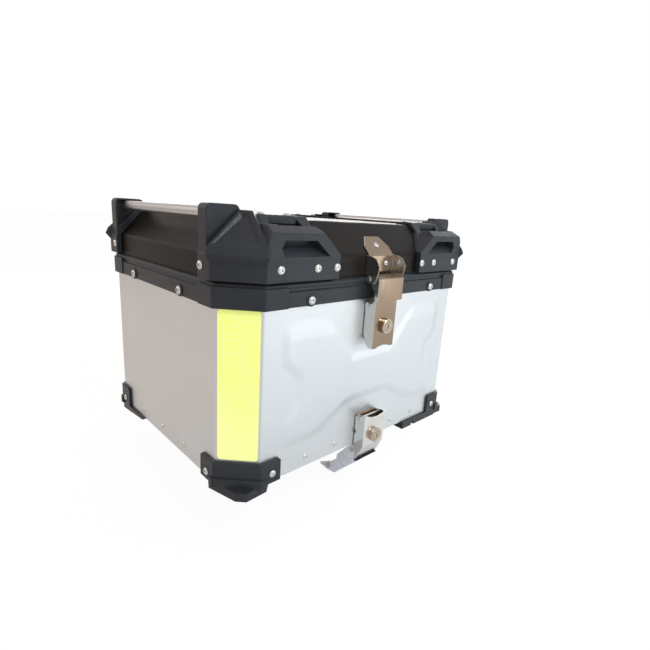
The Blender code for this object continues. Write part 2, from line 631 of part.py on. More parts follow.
def latch_lever(finish, parent):
    inner = LEVER_HALF - PLATE
    back = -BODY_D / 2 - 0.0010
    front = box((-LEVER_HALF, LEVER_HALF), (LEVER_FACE, LEVER_FACE + PLATE), (LEVER_LOW, LEVER_TOP))
    radius = 0.0040
    wall = [(LEVER_FACE + 0.0004, LEVER_LOW), (LEVER_FACE + 0.0004, LEVER_TOP), (-0.1910, LEVER_TOP),
            (-0.1860, 0.1990)]
    wall += circle((LEVER_Y, LEVER_Z), radius, pi * 0.75, 0.0, 8)
    wall += [(back, 0.1900), (back, 0.1580), (-0.1800, 0.1540), (-0.1800, 0.1470), (-0.1860, LEVER_LOW)]
    shape = union(front, *side_walls(wall, inner, LEVER_HALF))
    shape = cut(shape, cross_hole((LEVER_Y, LEVER_Z), PIN_R + GAP),
                lock_hole(LATCH_LOCK_Z, LEVER_FACE))
    sag = circle((0.0, LEVER_LOW - 0.0330), 0.0360, pi, 0.0, 12)
    shape = cut(shape, prism(sag, LEVER_FACE - FAR, LEVER_FACE + 0.0100, "y"))
    add("latch_lever", shape, finish, parent)
    add("latch_lock_barrel", lock_barrel(LATCH_LOCK_Z, LEVER_FACE), finish, parent)


def latch_hasp(finish, parent):
    bend = HASP_FACE + PLATE
    skin = [(HASP_FACE, HASP_LOW), (HASP_FACE, HASP_TOP), (-0.1880, 0.2362), (-0.1880, 0.2348),
            (bend, HASP_TOP - 0.0006), (bend, HASP_LOW)]
    shape = prism(skin, -HASP_HALF, HASP_HALF, "x")
    wall = [(HASP_FACE + 0.0004, HASP_LOW), (HASP_FACE + 0.0004, HASP_TOP), (-0.1880, 0.2358)]
    wall += circle((HASP_Y, HASP_Z), 0.0038, pi * 0.7, -pi * 0.5, 10)
    wall += [(-0.1900, 0.2160), (-0.1930, HASP_LOW)]
    shape = union(shape, *side_walls(wall, HASP_HALF - PLATE, HASP_HALF))
    add("latch_hasp", cut(shape, cross_hole((HASP_Y, HASP_Z), PIN_R + GAP)), finish, parent)


def latch_bracket(finish, parent):
    """The lid's half of the latch: a bent plate on the lid with two ears for the hasp."""
    back, front = -BODY_D / 2 - GAP, -BODY_D / 2 - GAP - SHEET
    half = BRACKET_HALF
    plate = box((-half, half), (front, back), (BRACKET_LOW, BRACKET_BEND))
    low, high = BRACKET_BEND - PAST, BRACKET_TOP
    section = [(-BODY_D / 2 - lid_out(z, t), z) for z, t in
               ((low, GAP), (low, GAP + SHEET), (high, GAP + SHEET), (high, GAP))]
    flange = prism(section, -FLANGE_HALF, FLANGE_HALF, "x")
    for sign in (-1, 1):
        clip = [(sign * 0.0120, 0.2810), (sign * 0.0250, 0.2660), (sign * 0.0250, 0.2810)]
        flange = cut(flange, prism(clip, -BODY_D / 2 - FAR, -BODY_D / 2 + FAR, "y"))
    clear = -BODY_D / 2 - RIM_OUT - 0.0008
    ear = [(back, BRACKET_LOW), (clear, 0.2330), (clear, 0.2265), (-0.1830, 0.2240), (-0.1895, 0.2245),
           (-0.1935, 0.2300), (-0.1965, 0.2400), (-0.1970, 0.2470), (-0.1920, 0.2550), (-0.1840, 0.2580),
           (back, 0.2584)]
    shape = union(plate, flange, *side_walls(ear, half - SHEET, half))
    add("latch_bracket", cut(shape, cross_hole((HASP_Y, HASP_Z), PIN_R + GAP)), finish, parent)
    pin = cross_pin((HASP_Y, HASP_Z), BRACKET_HALF + GAP, PIN_R, 0.0034)
    add("hasp_pin", pin, finish, parent)


# ------------------------------------------------------------------ quick release
def release_bracket(finish, parent):
    half, low, top = RELEASE_BASE_HALF, RELEASE_BASE_LOW, RELEASE_BASE_TOP
    back, front = -BODY_D / 2 - GAP, -BODY_D / 2 - GAP - SHEET
    plate = box((-half, half), (front, back), (low, top))
    radius = 0.0060
    ear = [(back, low), (back, top), (-0.1840, top), (-0.1845, 0.0330), (-0.1845, -0.0060)]
    ear += circle((CLAW_Y, CLAW_Z), radius, -pi * 0.75, 0.0, 8)
    ear += [(CLAW_Y + radius, low)]
    shape = union(plate, *side_walls(ear, half - SHEET, half))
    shape = union(shape, keeper(RELEASE_LOCK_Z, RELEASE_FACE, back, half - 0.0005))
    shape = cut(shape, cross_hole((COVER_AXIS_Y, COVER_AXIS_Z), PIN_R + GAP),
                cross_hole((CLAW_Y, CLAW_Z), PIN_R + GAP))
    add("release_bracket", shape, finish, parent)
    add("release_cover_pin", cross_pin((COVER_AXIS_Y, COVER_AXIS_Z), RELEASE_HALF + GAP, PIN_R, 0.0030),
        finish, parent)
    add("claw_pivot_pin", cross_pin((CLAW_Y, CLAW_Z), CLAW_HALF + GAP / 2, PIN_R, 0.0030), finish, parent)


def release_cover(finish, grip_finish, parent):
    knee, lip = (RELEASE_FACE, 0.0020), (-0.1815, -0.0215)
    top = RELEASE_TOP
    skin = [(RELEASE_FACE, top), knee, lip, (lip[0] + 0.0013, lip[1] + 0.0004),
            (knee[0] + PLATE, knee[1] + 0.0004), (RELEASE_FACE + PLATE, top)]
    shape = prism(skin, -RELEASE_HALF, RELEASE_HALF, "x")
    back = -BODY_D / 2 - 0.0010
    wall = [(RELEASE_FACE + 0.0004, top - 0.0010), (RELEASE_FACE + 0.0004, knee[1]),
            (lip[0] + 0.0005, lip[1] + 0.0001), (-0.1800, -0.0160), (back, -0.0060), (back, 0.0160),
            (-0.1790, 0.0200), (back, 0.0240), (back, 0.0350)]
    wall += circle((COVER_AXIS_Y, COVER_AXIS_Z), 0.0042, 0.0, pi * 0.6, 6)
    shape = union(shape, *side_walls(wall, RELEASE_HALF - PLATE, RELEASE_HALF))
    shape = cut(shape, cross_hole((COVER_AXIS_Y, COVER_AXIS_Z), PIN_R + GAP),
                lock_hole(RELEASE_LOCK_Z, RELEASE_FACE))
    dip = circle((0.0040, top + 0.0370), 0.0430, pi, 2 * pi, 16)
    shape = cut(shape, prism(dip, RELEASE_FACE - FAR, RELEASE_FACE + 0.0110, "y"))
    add("release_cover", shape, finish, parent)
    grip = [(lip[0] - 0.0030, lip[1] - 0.0006), (lip[0] - 0.0010, lip[1] - 0.0026),
            (lip[0] + 0.0026, lip[1] - 0.0030), (lip[0] + 0.0034, lip[1] - 0.0004)]
    add("release_cover_grip", prism(grip, -GRIP_HALF, GRIP_HALF, "x"), grip_finish, parent)
    add("release_lock_barrel", lock_barrel(RELEASE_LOCK_Z, RELEASE_FACE), finish, parent)


def release_claw(finish, parent):
    """Claw in its gripping position, then turned down to hang freely."""
    at = lambda points: [(CLAW_Y + y, CLAW_Z + z) for y, z in points]
    arm = circle((CLAW_Y, CLAW_Z), 0.0072, pi * 0.5, pi * 1.25, 8)
    arm += at([(0.0120, -CLAW_DEEP), (0.0580, -CLAW_DEEP), (0.0700, -0.0060), (0.0790, 0.0065),
               (0.0780, 0.0085), (0.0660, 0.0050), (0.0575, 0.0028), (0.0520, -0.0003), (0.0415, -0.0005),
               (0.0330, 0.0054), (0.0060, 0.0070)])
    inner = CLAW_HALF - SHEET / 3
    web = box((-inner, inner), (CLAW_Y + CLAW_WEB[0], CLAW_Y + CLAW_WEB[1]),
              (CLAW_Z - CLAW_DEEP, CLAW_Z - CLAW_DEEP + SHEET))
    shape = union(web, *side_walls(arm, CLAW_HALF - SHEET, CLAW_HALF))
    bar_place = (CLAW_Y + BAR_PLACE[0], CLAW_Z + BAR_PLACE[1])
    shape = cut(shape, cross_hole((CLAW_Y, CLAW_Z), PIN_R + GAP), cross_hole(bar_place, BAR_R + GAP))
    bar = cross_pin(bar_place, CLAW_HALF + GAP, BAR_R, BAR_HEAD_R)
    hang = -CLAW_HANG
    add("release_claw", turn_about_x(shape, (CLAW_Y, CLAW_Z), hang), finish, parent)
    add("claw_bar", turn_about_x(bar, (CLAW_Y, CLAW_Z), hang), finish, parent)


def rear_hooks(finish, parent):
    """Two fixed hooks under the back edge that slip below the carrier's rim."""
    web, tongue, end = HOOK_Y + HOOK_T, HOOK_Y - HOOK_REACH, HOOK_Y + HOOK_FOOT
    outline = [(HOOK_Y, -GAP), (end, -GAP), (end, -GAP - HOOK_T), (web, -GAP - HOOK_T), (web, HOOK_LOW),
               (tongue, HOOK_LOW), (tongue, HOOK_LOW + HOOK_T), (HOOK_Y, HOOK_LOW + HOOK_T)]
    for name, side in (("left", -1), ("right", 1)):
        ends = sorted((side * (HOOK_X - HOOK_HALF), side * (HOOK_X + HOOK_HALF)))
        add(f"rear_hook_{name}", prism(outline, *ends, "x"), finish, parent)


# ------------------------------------------------------------------ assembly
def build():
    clear_scene()
    alloy = material("satin_aluminium", (0.62, 0.64, 0.66), 0.38, 0.9)
    paint = material("black_powder_coat", (0.020, 0.018, 0.017), 0.45, 0.0)
    nylon = material("black_nylon", (0.018, 0.019, 0.021), 0.55, 0.0)
    rubber = material("black_rubber", (0.010, 0.010, 0.010), 0.80, 0.0)
    steel = material("polished_steel", (0.72, 0.70, 0.67), 0.14, 1.0)
    tape = material("reflective_tape", (0.62, 0.86, 0.06), 0.35, 0.0)

    case = pivot("case", (0, 0, 0))
    body_shell(alloy, case)
    bottom_pan(alloy, case)
    rim_frame(nylon, case)
    rim_seal(rubber, case)
    rim_screws(steel, case)
    foot_guards(nylon, case)
    reflectors(tape, case)
    latch_base(steel, case)
    release_bracket(steel, case)
    rear_hooks(steel, case)

    lid = pivot("lid", (0, HINGE_Y, HINGE_Z), case)
    lid_shell(paint, lid)
    lid_lip(nylon, lid)
    lid_corners(nylon, lid)
    carry_rails(alloy, lid)
    latch_bracket(steel, lid)
    for name, side in (("left", -1), ("right", 1)):
        hinge(name, side, case, lid, steel)

    hasp = pivot("hasp", (0, HASP_Y, HASP_Z), lid)
    latch_hasp(steel, hasp)
    lever = pivot("lever", (0, LEVER_Y, LEVER_Z), case)
    latch_lever(steel, lever)
    lever_core = pivot("lever_core", (0, LEVER_FACE, LATCH_LOCK_Z), lever)
    add("latch_lock_core", lock_core(LATCH_LOCK_Z, LEVER_FACE), steel, lever_core)

    cover = pivot("cover", (0, COVER_AXIS_Y, COVER_AXIS_Z), case)
    release_cover(steel, rubber, cover)
    cover_core = pivot("cover_core", (0, RELEASE_FACE, RELEASE_LOCK_Z), cover)
    add("release_lock_core", lock_core(RELEASE_LOCK_Z, RELEASE_FACE), steel, cover_core)
    claw = pivot("claw", (0, CLAW_Y, CLAW_Z), case)
    release_claw(steel, claw)


build()
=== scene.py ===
"""Looks of the aluminium top case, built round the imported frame. Metres, +Z up, -Y is the latch side."""
import json
from math import cos, hypot, pi, radians, sin, sqrt, tan

import bmesh
import bpy
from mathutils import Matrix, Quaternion, Vector
from mathutils.geometry import intersect_point_line

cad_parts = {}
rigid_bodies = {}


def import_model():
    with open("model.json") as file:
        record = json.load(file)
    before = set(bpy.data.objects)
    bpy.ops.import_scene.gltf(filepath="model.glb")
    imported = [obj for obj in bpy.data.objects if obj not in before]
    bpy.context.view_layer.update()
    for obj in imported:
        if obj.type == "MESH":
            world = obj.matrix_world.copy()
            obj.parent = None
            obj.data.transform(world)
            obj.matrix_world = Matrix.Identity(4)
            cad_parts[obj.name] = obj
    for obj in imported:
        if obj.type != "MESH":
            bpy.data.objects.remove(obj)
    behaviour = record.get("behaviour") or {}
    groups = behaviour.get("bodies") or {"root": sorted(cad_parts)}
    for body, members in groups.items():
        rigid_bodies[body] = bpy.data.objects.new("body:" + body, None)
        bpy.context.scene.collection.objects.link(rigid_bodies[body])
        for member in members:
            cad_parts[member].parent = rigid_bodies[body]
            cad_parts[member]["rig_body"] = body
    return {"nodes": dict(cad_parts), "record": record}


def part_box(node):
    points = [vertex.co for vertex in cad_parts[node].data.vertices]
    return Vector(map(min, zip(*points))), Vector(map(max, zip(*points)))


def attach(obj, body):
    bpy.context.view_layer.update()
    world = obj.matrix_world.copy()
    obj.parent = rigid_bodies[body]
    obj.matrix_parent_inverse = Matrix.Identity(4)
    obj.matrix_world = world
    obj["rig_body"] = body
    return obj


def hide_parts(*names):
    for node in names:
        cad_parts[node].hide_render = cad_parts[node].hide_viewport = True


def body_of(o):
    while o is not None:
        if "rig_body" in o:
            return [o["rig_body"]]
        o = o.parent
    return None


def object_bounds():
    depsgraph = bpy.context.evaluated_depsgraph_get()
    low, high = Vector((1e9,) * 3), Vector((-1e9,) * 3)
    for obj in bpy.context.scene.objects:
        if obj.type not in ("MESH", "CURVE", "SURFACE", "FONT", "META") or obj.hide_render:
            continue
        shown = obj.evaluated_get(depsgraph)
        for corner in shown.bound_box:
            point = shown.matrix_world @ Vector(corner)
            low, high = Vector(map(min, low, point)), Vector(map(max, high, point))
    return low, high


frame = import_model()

CAD_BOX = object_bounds()
NODES = frame["nodes"]
SLOTS = {part["node"]: part["material_slot"] for part in frame["record"]["subparts"]}

# ------------------------------------------------------------------ sizes
BODY_W, BODY_D, CHAMFER, SHELL_TOP, SHEET = 0.426, 0.350, 0.03626, 0.2247, 0.0015
FOLD_R, FOLD_STEPS = 0.0030, 5             # folds of the sheet
FRONT_FACING = -0.999                      # a normal's y below which a point is on the front's flat

PRESS, PRESS_SLOPE = 0.0016, 0.0105        # height of the X pressed into the front, and its slope's width
PRESS_STEP = 0.0021                        # mesh step over the pressed front
PRESS_TOP, PRESS_FADE = 0.188, 0.022       # where its arms have run out, and over what height they do
PRESS_HALF = [(0.037, 0.129), (0.088, 0.186), (0.147, 0.194), (0.147, 0.143), (0.123, 0.120),
              (0.122, 0.090), (0.143, 0.067), (0.143, 0.041), (0.095, 0.041), (0.040, 0.072)]

WELD = 0.00001                             # corners closer than this are one corner
FLAT = radians(1)                          # the turn within which neighbouring faces are one flat face
EDGE_ANGLE, SHARP, DEBURR_ANGLE = radians(28), radians(30), radians(32)     # least turns at an edge
BEVEL_SPAN = 0.0040                        # the bevel that a weight of 1 stands for
INSIDE = 1 / 3                             # bevel of an inside edge as a share of an outside one's
LONG_FOLD = 0.012                          # shortest upright edge that gets the wider bevel of a fold
UPRIGHT, IN_LINE = 0.9, -0.9               # cosines: of an edge to the upright, and to an edge it carries on
ROOM_ALONG, ROOM_AT_CORNER, ROOM_ACROSS = 0.45, 0.5, 0.4    # shares of the free space a bevel may take
LEAST_SPREAD = 0.05                        # sine of the narrowest corner that bevels allow for
DEBURR, BEND = 0.0003, 0.0013              # edges and bends of the latches' plates

FACET_OUT = (0.536, 0.536, 0.652)          # the lid corners' sloping facet faces this way
FACET_MATCH = 0.99                         # cosine of the widest turn a face of the facet has from it
FACET_RIM, FACET_SIDE, FACET_DEPTH = 0.0040, 0.0046, 0.0030 # flat round the recess, its slope, its depth
FACET_MERGE = 0.0048                       # corners of the recess closer than this become one
FACET_FOOT, FACET_FOOT_RISE = 0.004, 0.8   # height of the recess's foot, share of the depth it gives back

RIVET_Z, RIVET_R, RIVET_H = 0.0125, 0.0034, 0.0018
RIVET_X, RIVET_Y = (-0.109, -0.058, 0.058, 0.109), (-0.062, 0.0, 0.062)
GUARD_OUT = 0.0040                         # how far the foot guards' walls stand out from the sheet
GUARD_SCREW_X, GUARD_SCREW_Y = (0.162, 0.0120), (0.126, 0.0100)         # each with its height
RIM_HEAD, GUARD_HEAD = (0.0050, 0.0024), (0.0044, 0.0020)   # radius and height of the screws' heads
CORNER_HEAD, LATCH_HEAD = (0.0048, 0.0022), (0.0042, 0.0020)
CORNER_FACE, CORNER_SIDE = 0.1825, 0.2205  # outer faces of the lid corners' walls
CORNER_SCREW_X, CORNER_SCREW_Y, CORNER_SCREW_Z = (0.083, 0.1125, 0.163), 0.123, 0.2465
TAB_SCREW_X, TAB_SCREW_Y, TAB_TOP = (0.113, 0.150), 0.125, 0.3000
FLANGE_SCREW, FLANGE_OUT = (0.0, -0.1668, 0.2700), (0, -0.676, 0.737)   # on the latch bracket's slope
EAR_SCREW_X, EAR_SCREW_Y, EAR_SCREW_Z = 0.0110, -0.1768, 0.2475         # between the bracket's ears

# ------------------------------------------------------------------ camera and studio
EYE = Vector((-0.4320, -0.5272, 0.3042))
AZIMUTH, ELEVATION, ROLL = radians(44.21), radians(14.38), radians(3.68)
LENS, SENSOR = 23.95, 36.0
FLOOR_Z, FLOOR_REACH = CAD_BOX[0][2] - 0.012, 14.0
FLOOR_GLOW, FLOOR_SHARE = 1.04, 0.90       # the white the camera sees, and how much of the floor it is
LIGHT_SIDE = Vector((0.71, -0.71, 0.0))
DIM, BRIGHT = (0.66, 0.595, 0.55), (0.82, 0.87, 0.91)       # surroundings away from and towards LIGHT_SIDE
WORLD_REACH, GROUND_REACH = 0.9, 0.7       # how far along LIGHT_SIDE each colour is met
AIM = Vector((0, 0, 0.12))                 # where the lights point


def camera():
    data = bpy.data.cameras.new("camera")
    data.lens, data.sensor_width = LENS, SENSOR
    data.clip_start, data.clip_end = 0.01, 50
    item = bpy.data.objects.new("camera", data)
    bpy.context.scene.collection.objects.link(item)
    forward = Vector((sin(AZIMUTH) * cos(ELEVATION), cos(AZIMUTH) * cos(ELEVATION), -sin(ELEVATION)))
    turn = forward.to_track_quat("-Z", "Y") @ Quaternion((0, 0, 1), ROLL)
    item.location, item.rotation_euler = EYE, turn.to_euler()
    bpy.context.scene.camera = item


def softbox(name, place, size, power, colour):
    data = bpy.data.lights.new(name, "AREA")
    data.shape, data.size, data.size_y = "RECTANGLE", size[0], size[1]
    data.energy, data.color = power, colour
    item = bpy.data.objects.new(name, data)
    bpy.context.scene.collection.objects.link(item)
    item.location = place
    item.rotation_euler = (AIM - Vector(place)).to_track_quat("-Z", "Y").to_euler()


def graded(tree, coordinate, reach):
    """The surroundings' colour, from DIM to BRIGHT along LIGHT_SIDE; reach is where each end is met."""
    place = tree.nodes.new("ShaderNodeTexCoord")
    along = tree.nodes.new("ShaderNodeVectorMath")
    along.operation = "DOT_PRODUCT"
    along.inputs[1].default_value = LIGHT_SIDE
    tree.links.new(place.outputs[coordinate], along.inputs[0])
    span = tree.nodes.new("ShaderNodeMapRange")
    span.interpolation_type = "SMOOTHSTEP"
    span.inputs["From Min"].default_value, span.inputs["From Max"].default_value = -reach, reach
    tree.links.new(along.outputs["Value"], span.inputs["Value"])
    ramp = tree.nodes.new("ShaderNodeValToRGB")
    ramp.color_ramp.elements[0].color, ramp.color_ramp.elements[1].color = (*DIM, 1.0), (*BRIGHT, 1.0)
    tree.links.new(span.outputs["Result"], ramp.inputs["Fac"])
    return ramp.outputs["Color"]


def white_to_camera(tree, shader, white, share, output):
    """Show a plain white in place of a shader where the camera looks straight at it."""
    path, mix = tree.nodes.new("ShaderNodeLightPath"), tree.nodes.new("ShaderNodeMixShader")
    part = tree.nodes.new("ShaderNodeMath")
    part.operation = "MULTIPLY"
    part.inputs[1].default_value = share
    tree.links.new(path.outputs["Is Camera Ray"], part.inputs[0])
    tree.links.new(part.outputs["Value"], mix.inputs["Fac"])
    tree.links.new(shader, mix.inputs[1])
    tree.links.new(white, mix.inputs[2])
    tree.links.new(mix.outputs["Shader"], output)


def surroundings():
    world = bpy.data.worlds.new("studio")
    world.use_nodes = True
    tree = world.node_tree
    room = tree.nodes["Background"]
    tree.links.new(graded(tree, "Generated", WORLD_REACH), room.inputs["Color"])
    white = tree.nodes.new("ShaderNodeBackground")
    white.inputs["Color"].default_value = (1.0, 1.0, 1.0, 1.0)
    white_to_camera(tree, room.outputs["Background"], white.outputs["Background"], 1.0,
                    tree.nodes["World Output"].inputs["Surface"])
    bpy.context.scene.world = world


def pale_floor():
    mesh = bpy.data.meshes.new("floor")
    shape = bmesh.new()
    bmesh.ops.create_grid(shape, x_segments=1, y_segments=1, size=FLOOR_REACH)
    shape.to_mesh(mesh)
    shape.free()
    floor = bpy.data.objects.new("floor", mesh)
    floor.location.z = FLOOR_Z
    bpy.context.scene.collection.objects.link(floor)
    white = bpy.data.materials.new("floor_white")
    white.use_nodes = True
    tree = white.node_tree
    paper = tree.nodes["Principled BSDF"]
    paper.inputs["Roughness"].default_value = 0.9
    tree.links.new(graded(tree, "Object", GROUND_REACH), paper.inputs["Base Color"])
    glow = tree.nodes.new("ShaderNodeEmission")
    glow.inputs["Strength"].default_value = FLOOR_GLOW
    white_to_camera(tree, paper.outputs["BSDF"], glow.outputs["Emission"], FLOOR_SHARE,
                    tree.nodes["Material Output"].inputs["Surface"])
    mesh.materials.append(white)


def studio():
    bpy.context.scene.view_settings.view_transform = "Standard"
    surroundings()
    pale_floor()
    softbox("front_high", (-0.13, -1.25, 1.30), (0.50, 0.40), 9.0, (0.88, 0.94, 1.0))
    softbox("front_right", (1.00, -1.40, 0.16), (0.80, 0.40), 1.9, (0.96, 0.99, 1.0))
    softbox("back_right", (1.25, 1.35, 0.55), (2.2, 0.6), 18.0, (1.0, 0.98, 0.98))
    softbox("back_left", (-1.30, 1.20, 0.95), (0.7, 0.7), 3.5, (1.0, 0.97, 0.96))


# ------------------------------------------------------------------ materials
CELL, SEAM = 0.0046, 0.07                  # width of the tape's cells, and their seams as a share of it
PALE_END = 0.03, 0.13                      # heights between which the tape's paler lower end fades
CLOUDED = 0.86                             # brightness of a plate's darker clouds
PAINTED_REFLECTION_TURN = 0.35, 0.80                     # |x| of a plate's normal where its front and its wall colour end; both colours are painted reflections


class Material:
    """A Principled material with a few shorthands for procedural detail."""

    def __init__(self, name, colour, rough, metal=0.0, **sockets):
        self.material = bpy.data.materials.new(name)
        self.material.use_nodes = True
        self.tree = self.material.node_tree
        self.shader = self.tree.nodes["Principled BSDF"]
        self.shader.inputs["Base Color"].default_value = (*colour, 1.0)
        self.shader.inputs["Roughness"].default_value = rough
        self.shader.inputs["Metallic"].default_value = metal
        for socket, value in sockets.items():
            self.shader.inputs[socket.replace("_", " ")].default_value = value

    def node(self, kind, **settings):
        made = self.tree.nodes.new(kind)
        for name, value in settings.items():
            setattr(made, name, value)
        return made

    def link(self, out, into):
        self.tree.links.new(out, into)

    def math(self, operation, *values):
        made = self.node("ShaderNodeMath", operation=operation)
        for socket, value in zip(made.inputs, values):
            if isinstance(value, (int, float)):
                socket.default_value = value
            else:
                self.link(value, socket)
        return made.outputs["Value"]

    def place(self):
        """The object coordinates, x, y and z."""
        parts = self.node("ShaderNodeSeparateXYZ")
        self.link(self.node("ShaderNodeTexCoord").outputs["Object"], parts.inputs["Vector"])
        return parts.outputs["X"], parts.outputs["Y"], parts.outputs["Z"]

    def noise(self, scale, detail=3.0, stretch=(1.0, 1.0, 1.0)):
        mapping = self.node("ShaderNodeMapping")
        mapping.inputs["Scale"].default_value = stretch
        noise = self.node("ShaderNodeTexNoise")
        noise.inputs["Scale"].default_value = scale
        noise.inputs["Detail"].default_value = detail
        self.link(self.node("ShaderNodeTexCoord").outputs["Object"], mapping.inputs["Vector"])
        self.link(mapping.outputs["Vector"], noise.inputs["Vector"])
        return noise.outputs["Fac"]

    def spread(self, value, low, high, start=0.3, end=0.7):
        span = self.node("ShaderNodeMapRange")
        for socket, number in (("From Min", start), ("From Max", end), ("To Min", low), ("To Max", high)):
            span.inputs[socket].default_value = number
        self.link(value, span.inputs["Value"])
        return span.outputs["Result"]

    def rough(self, value, low, high):
        self.link(self.spread(value, low, high), self.shader.inputs["Roughness"])
        return self

    def mix(self, factor, first, second):
        """Blend two colours, or a colour into an earlier blend."""
        ramp = self.node("ShaderNodeMix", data_type="RGBA")
        sockets = [socket for socket in ramp.inputs if socket.type == "RGBA"]
        for socket, value in zip(sockets, (first, second)):
            if isinstance(value, tuple):
                socket.default_value = (*value, 1.0)
            else:
                self.link(value, socket)
        self.link(factor, ramp.inputs["Factor"])
        return [socket for socket in ramp.outputs if socket.type == "RGBA"][0]

    def colours(self, value, first, second):
        self.link(self.mix(self.spread(value, 0.0, 1.0), first, second), self.shader.inputs["Base Color"])
        return self

    def bump(self, value, distance, strength=1.0):
        bump = self.node("ShaderNodeBump")
        bump.inputs["Strength"].default_value = strength
        bump.inputs["Distance"].default_value = distance
        self.link(value, bump.inputs["Height"])
        if self.shader.inputs["Normal"].is_linked:
            self.link(self.shader.inputs["Normal"].links[0].from_socket, bump.inputs["Normal"])
        self.link(bump.outputs["Normal"], self.shader.inputs["Normal"])
        return self


def anodised():
    made = Material("case_aluminium", (0.72, 0.73, 0.73), 0.4, 1.0)
    made.colours(made.noise(9, 5), (0.74, 0.75, 0.75), (0.78, 0.79, 0.79))
    made.rough(made.noise(700, 2), 0.38, 0.50)
    return made.bump(made.noise(1500, 2), 0.00010).material


def tube_metal():
    made = Material("rail_aluminium", (0.60, 0.60, 0.60), 0.3, 1.0)
    made.rough(made.noise(300, 2, (1, 0.05, 1)), 0.28, 0.33)
    return made.bump(made.noise(1800, 2), 0.00001).material


def powder_coat():
    made = Material("lid_paint", (0.010, 0.008, 0.007), 0.36, Specular_IOR_Level=0.16,
                    Specular_Tint=(1.0, 0.91, 0.84, 1.0))
    made.colours(made.noise(14, 4), (0.008, 0.006, 0.005), (0.012, 0.009, 0.007))
    made.rough(made.noise(300, 3), 0.32, 0.42)
    return made.bump(made.noise(1300, 3), 0.00010).material


def nylon():
    made = Material("moulded_nylon", (0.012, 0.013, 0.015), 0.42, Specular_IOR_Level=0.30)
    made.colours(made.noise(30, 5), (0.020, 0.023, 0.027), (0.028, 0.031, 0.036))
    made.rough(made.noise(220, 4), 0.28, 0.40)
    return made.bump(made.noise(1500, 3), 0.00014).material


def rubber():
    made = Material("rubber", (0.012, 0.012, 0.012), 0.75)
    made.rough(made.noise(120, 4), 0.65, 0.85)
    return made.bump(made.noise(900, 3), 0.00010).material


def steel_with_painted_reflection(name, front, wall):
    """Polished plate with painted reflections: its rolled front gets a warm painted reflection and its bent
    walls a pale grey one.
    """
    made = Material(name, front, 0.2, 1.0)
    parts = made.node("ShaderNodeSeparateXYZ")
    made.link(made.node("ShaderNodeNewGeometry").outputs["Normal"], parts.inputs["Vector"])
    # painted reflection: the front colour where the plate faces forward, the wall colour where it faces
    # sideways
    sideways = made.spread(made.math("ABSOLUTE", parts.outputs["X"]), 0.0, 1.0, *PAINTED_REFLECTION_TURN)
    clouded = tuple(CLOUDED * part for part in front)
    cloudy = made.mix(made.spread(made.noise(25, 3), 0.0, 1.0), front, clouded)
    made.link(made.mix(sideways, cloudy, wall), made.shader.inputs["Base Color"])
    made.rough(made.noise(260, 4, (1, 1, 0.05)), 0.14, 0.30)
    return made.bump(made.noise(900, 3, (1, 1, 0.03)), 0.00002).material


def claw_steel():
    made = Material("claw_steel", (0.90, 0.92, 0.98), 0.25, 0.3)
    made.colours(made.noise(12, 2), (0.86, 0.88, 0.97), (0.93, 0.94, 0.98))
    return made.rough(made.noise(60, 3), 0.24, 0.34).material


def chrome():
    made = Material("lock_chrome", (0.56, 0.46, 0.36), 0.10, 1.0)
    made.rough(made.noise(200, 3), 0.07, 0.18)
    return made.material


def bright_steel():
    made = Material("fastener_steel", (0.72, 0.70, 0.68), 0.2, 1.0)
    made.rough(made.noise(600, 3), 0.18, 0.34)
    return made.bump(made.noise(1500, 2), 0.00003).material


def prism_tape():
    """Fluorescent sheet of six-sided prism cells between pale seams, paler towards its lower end."""
    made = Material("reflective_tape", (0.80, 0.95, 0.10), 0.25, Coat_Weight=0.5, Coat_Roughness=0.08)
    x, y, z = made.place()
    across = made.math("SUBTRACT", made.math("ABSOLUTE", y), made.math("ABSOLUTE", x))
    u = made.math("MULTIPLY", across, 1 / sqrt(2) / CELL)
    v = made.math("MULTIPLY", z, 1 / CELL)

    def from_centres(shift):
        """Distances from the nearest centre of one of the two grids that make the six-sided one."""
        moved = [(made.math("ADD", value, shift * pitch), pitch) for value, pitch in ((u, 1.0), (v, sqrt(3)))]
        return [made.math("SUBTRACT", made.math("FLOORED_MODULO", value, pitch), pitch / 2)
                for value, pitch in moved]

    def six_sided(shift):
        du, dv = [made.math("ABSOLUTE", value) for value in from_centres(shift)]
        slant = made.math("ADD", made.math("MULTIPLY", du, 0.5), made.math("MULTIPLY", dv, sqrt(3) / 2))
        return made.math("MAXIMUM", du, slant)

    inset = made.math("SUBTRACT", 0.5, made.math("MINIMUM", six_sided(0.0), six_sided(0.5)))
    face = made.spread(inset, 0.0, 1.0, SEAM * 0.35, SEAM)
    low = made.spread(z, 1.0, 0.0, *PALE_END)
    field = made.mix(low, (0.84, 0.96, 0.20), (0.92, 0.99, 0.34))
    made.link(made.mix(face, (0.96, 1.0, 0.72), field), made.shader.inputs["Base Color"])
    # the emission is painted glow, standing in for the real tape's fluorescent brightness
    made.shader.inputs["Emission Color"].default_value = (0.90, 1.0, 0.16, 1.0)
    made.shader.inputs["Emission Strength"].default_value = 0.24
    return made.bump(face, 0.00005).material


FINISH = {
    "case_aluminium": anodised(), "rail_aluminium": tube_metal(), "lid_paint": powder_coat(),
    "moulded_nylon": nylon(), "rubber": rubber(),
    # the latch plates' warm front and pale walls are painted reflections
    "latch_steel": steel_with_painted_reflection("latch_steel", (0.36, 0.26, 0.18), (0.74, 0.76, 0.74)),
    "claw_steel": claw_steel(), "lock_chrome": chrome(), "fastener_steel": bright_steel(),
    "reflective_tape": prism_tape(),
}
# the release cover's pale tan front and grey walls are painted reflections
PALE_STEEL = steel_with_painted_reflection("release_steel", (0.88, 0.83, 0.77), (0.78, 0.80, 0.80))


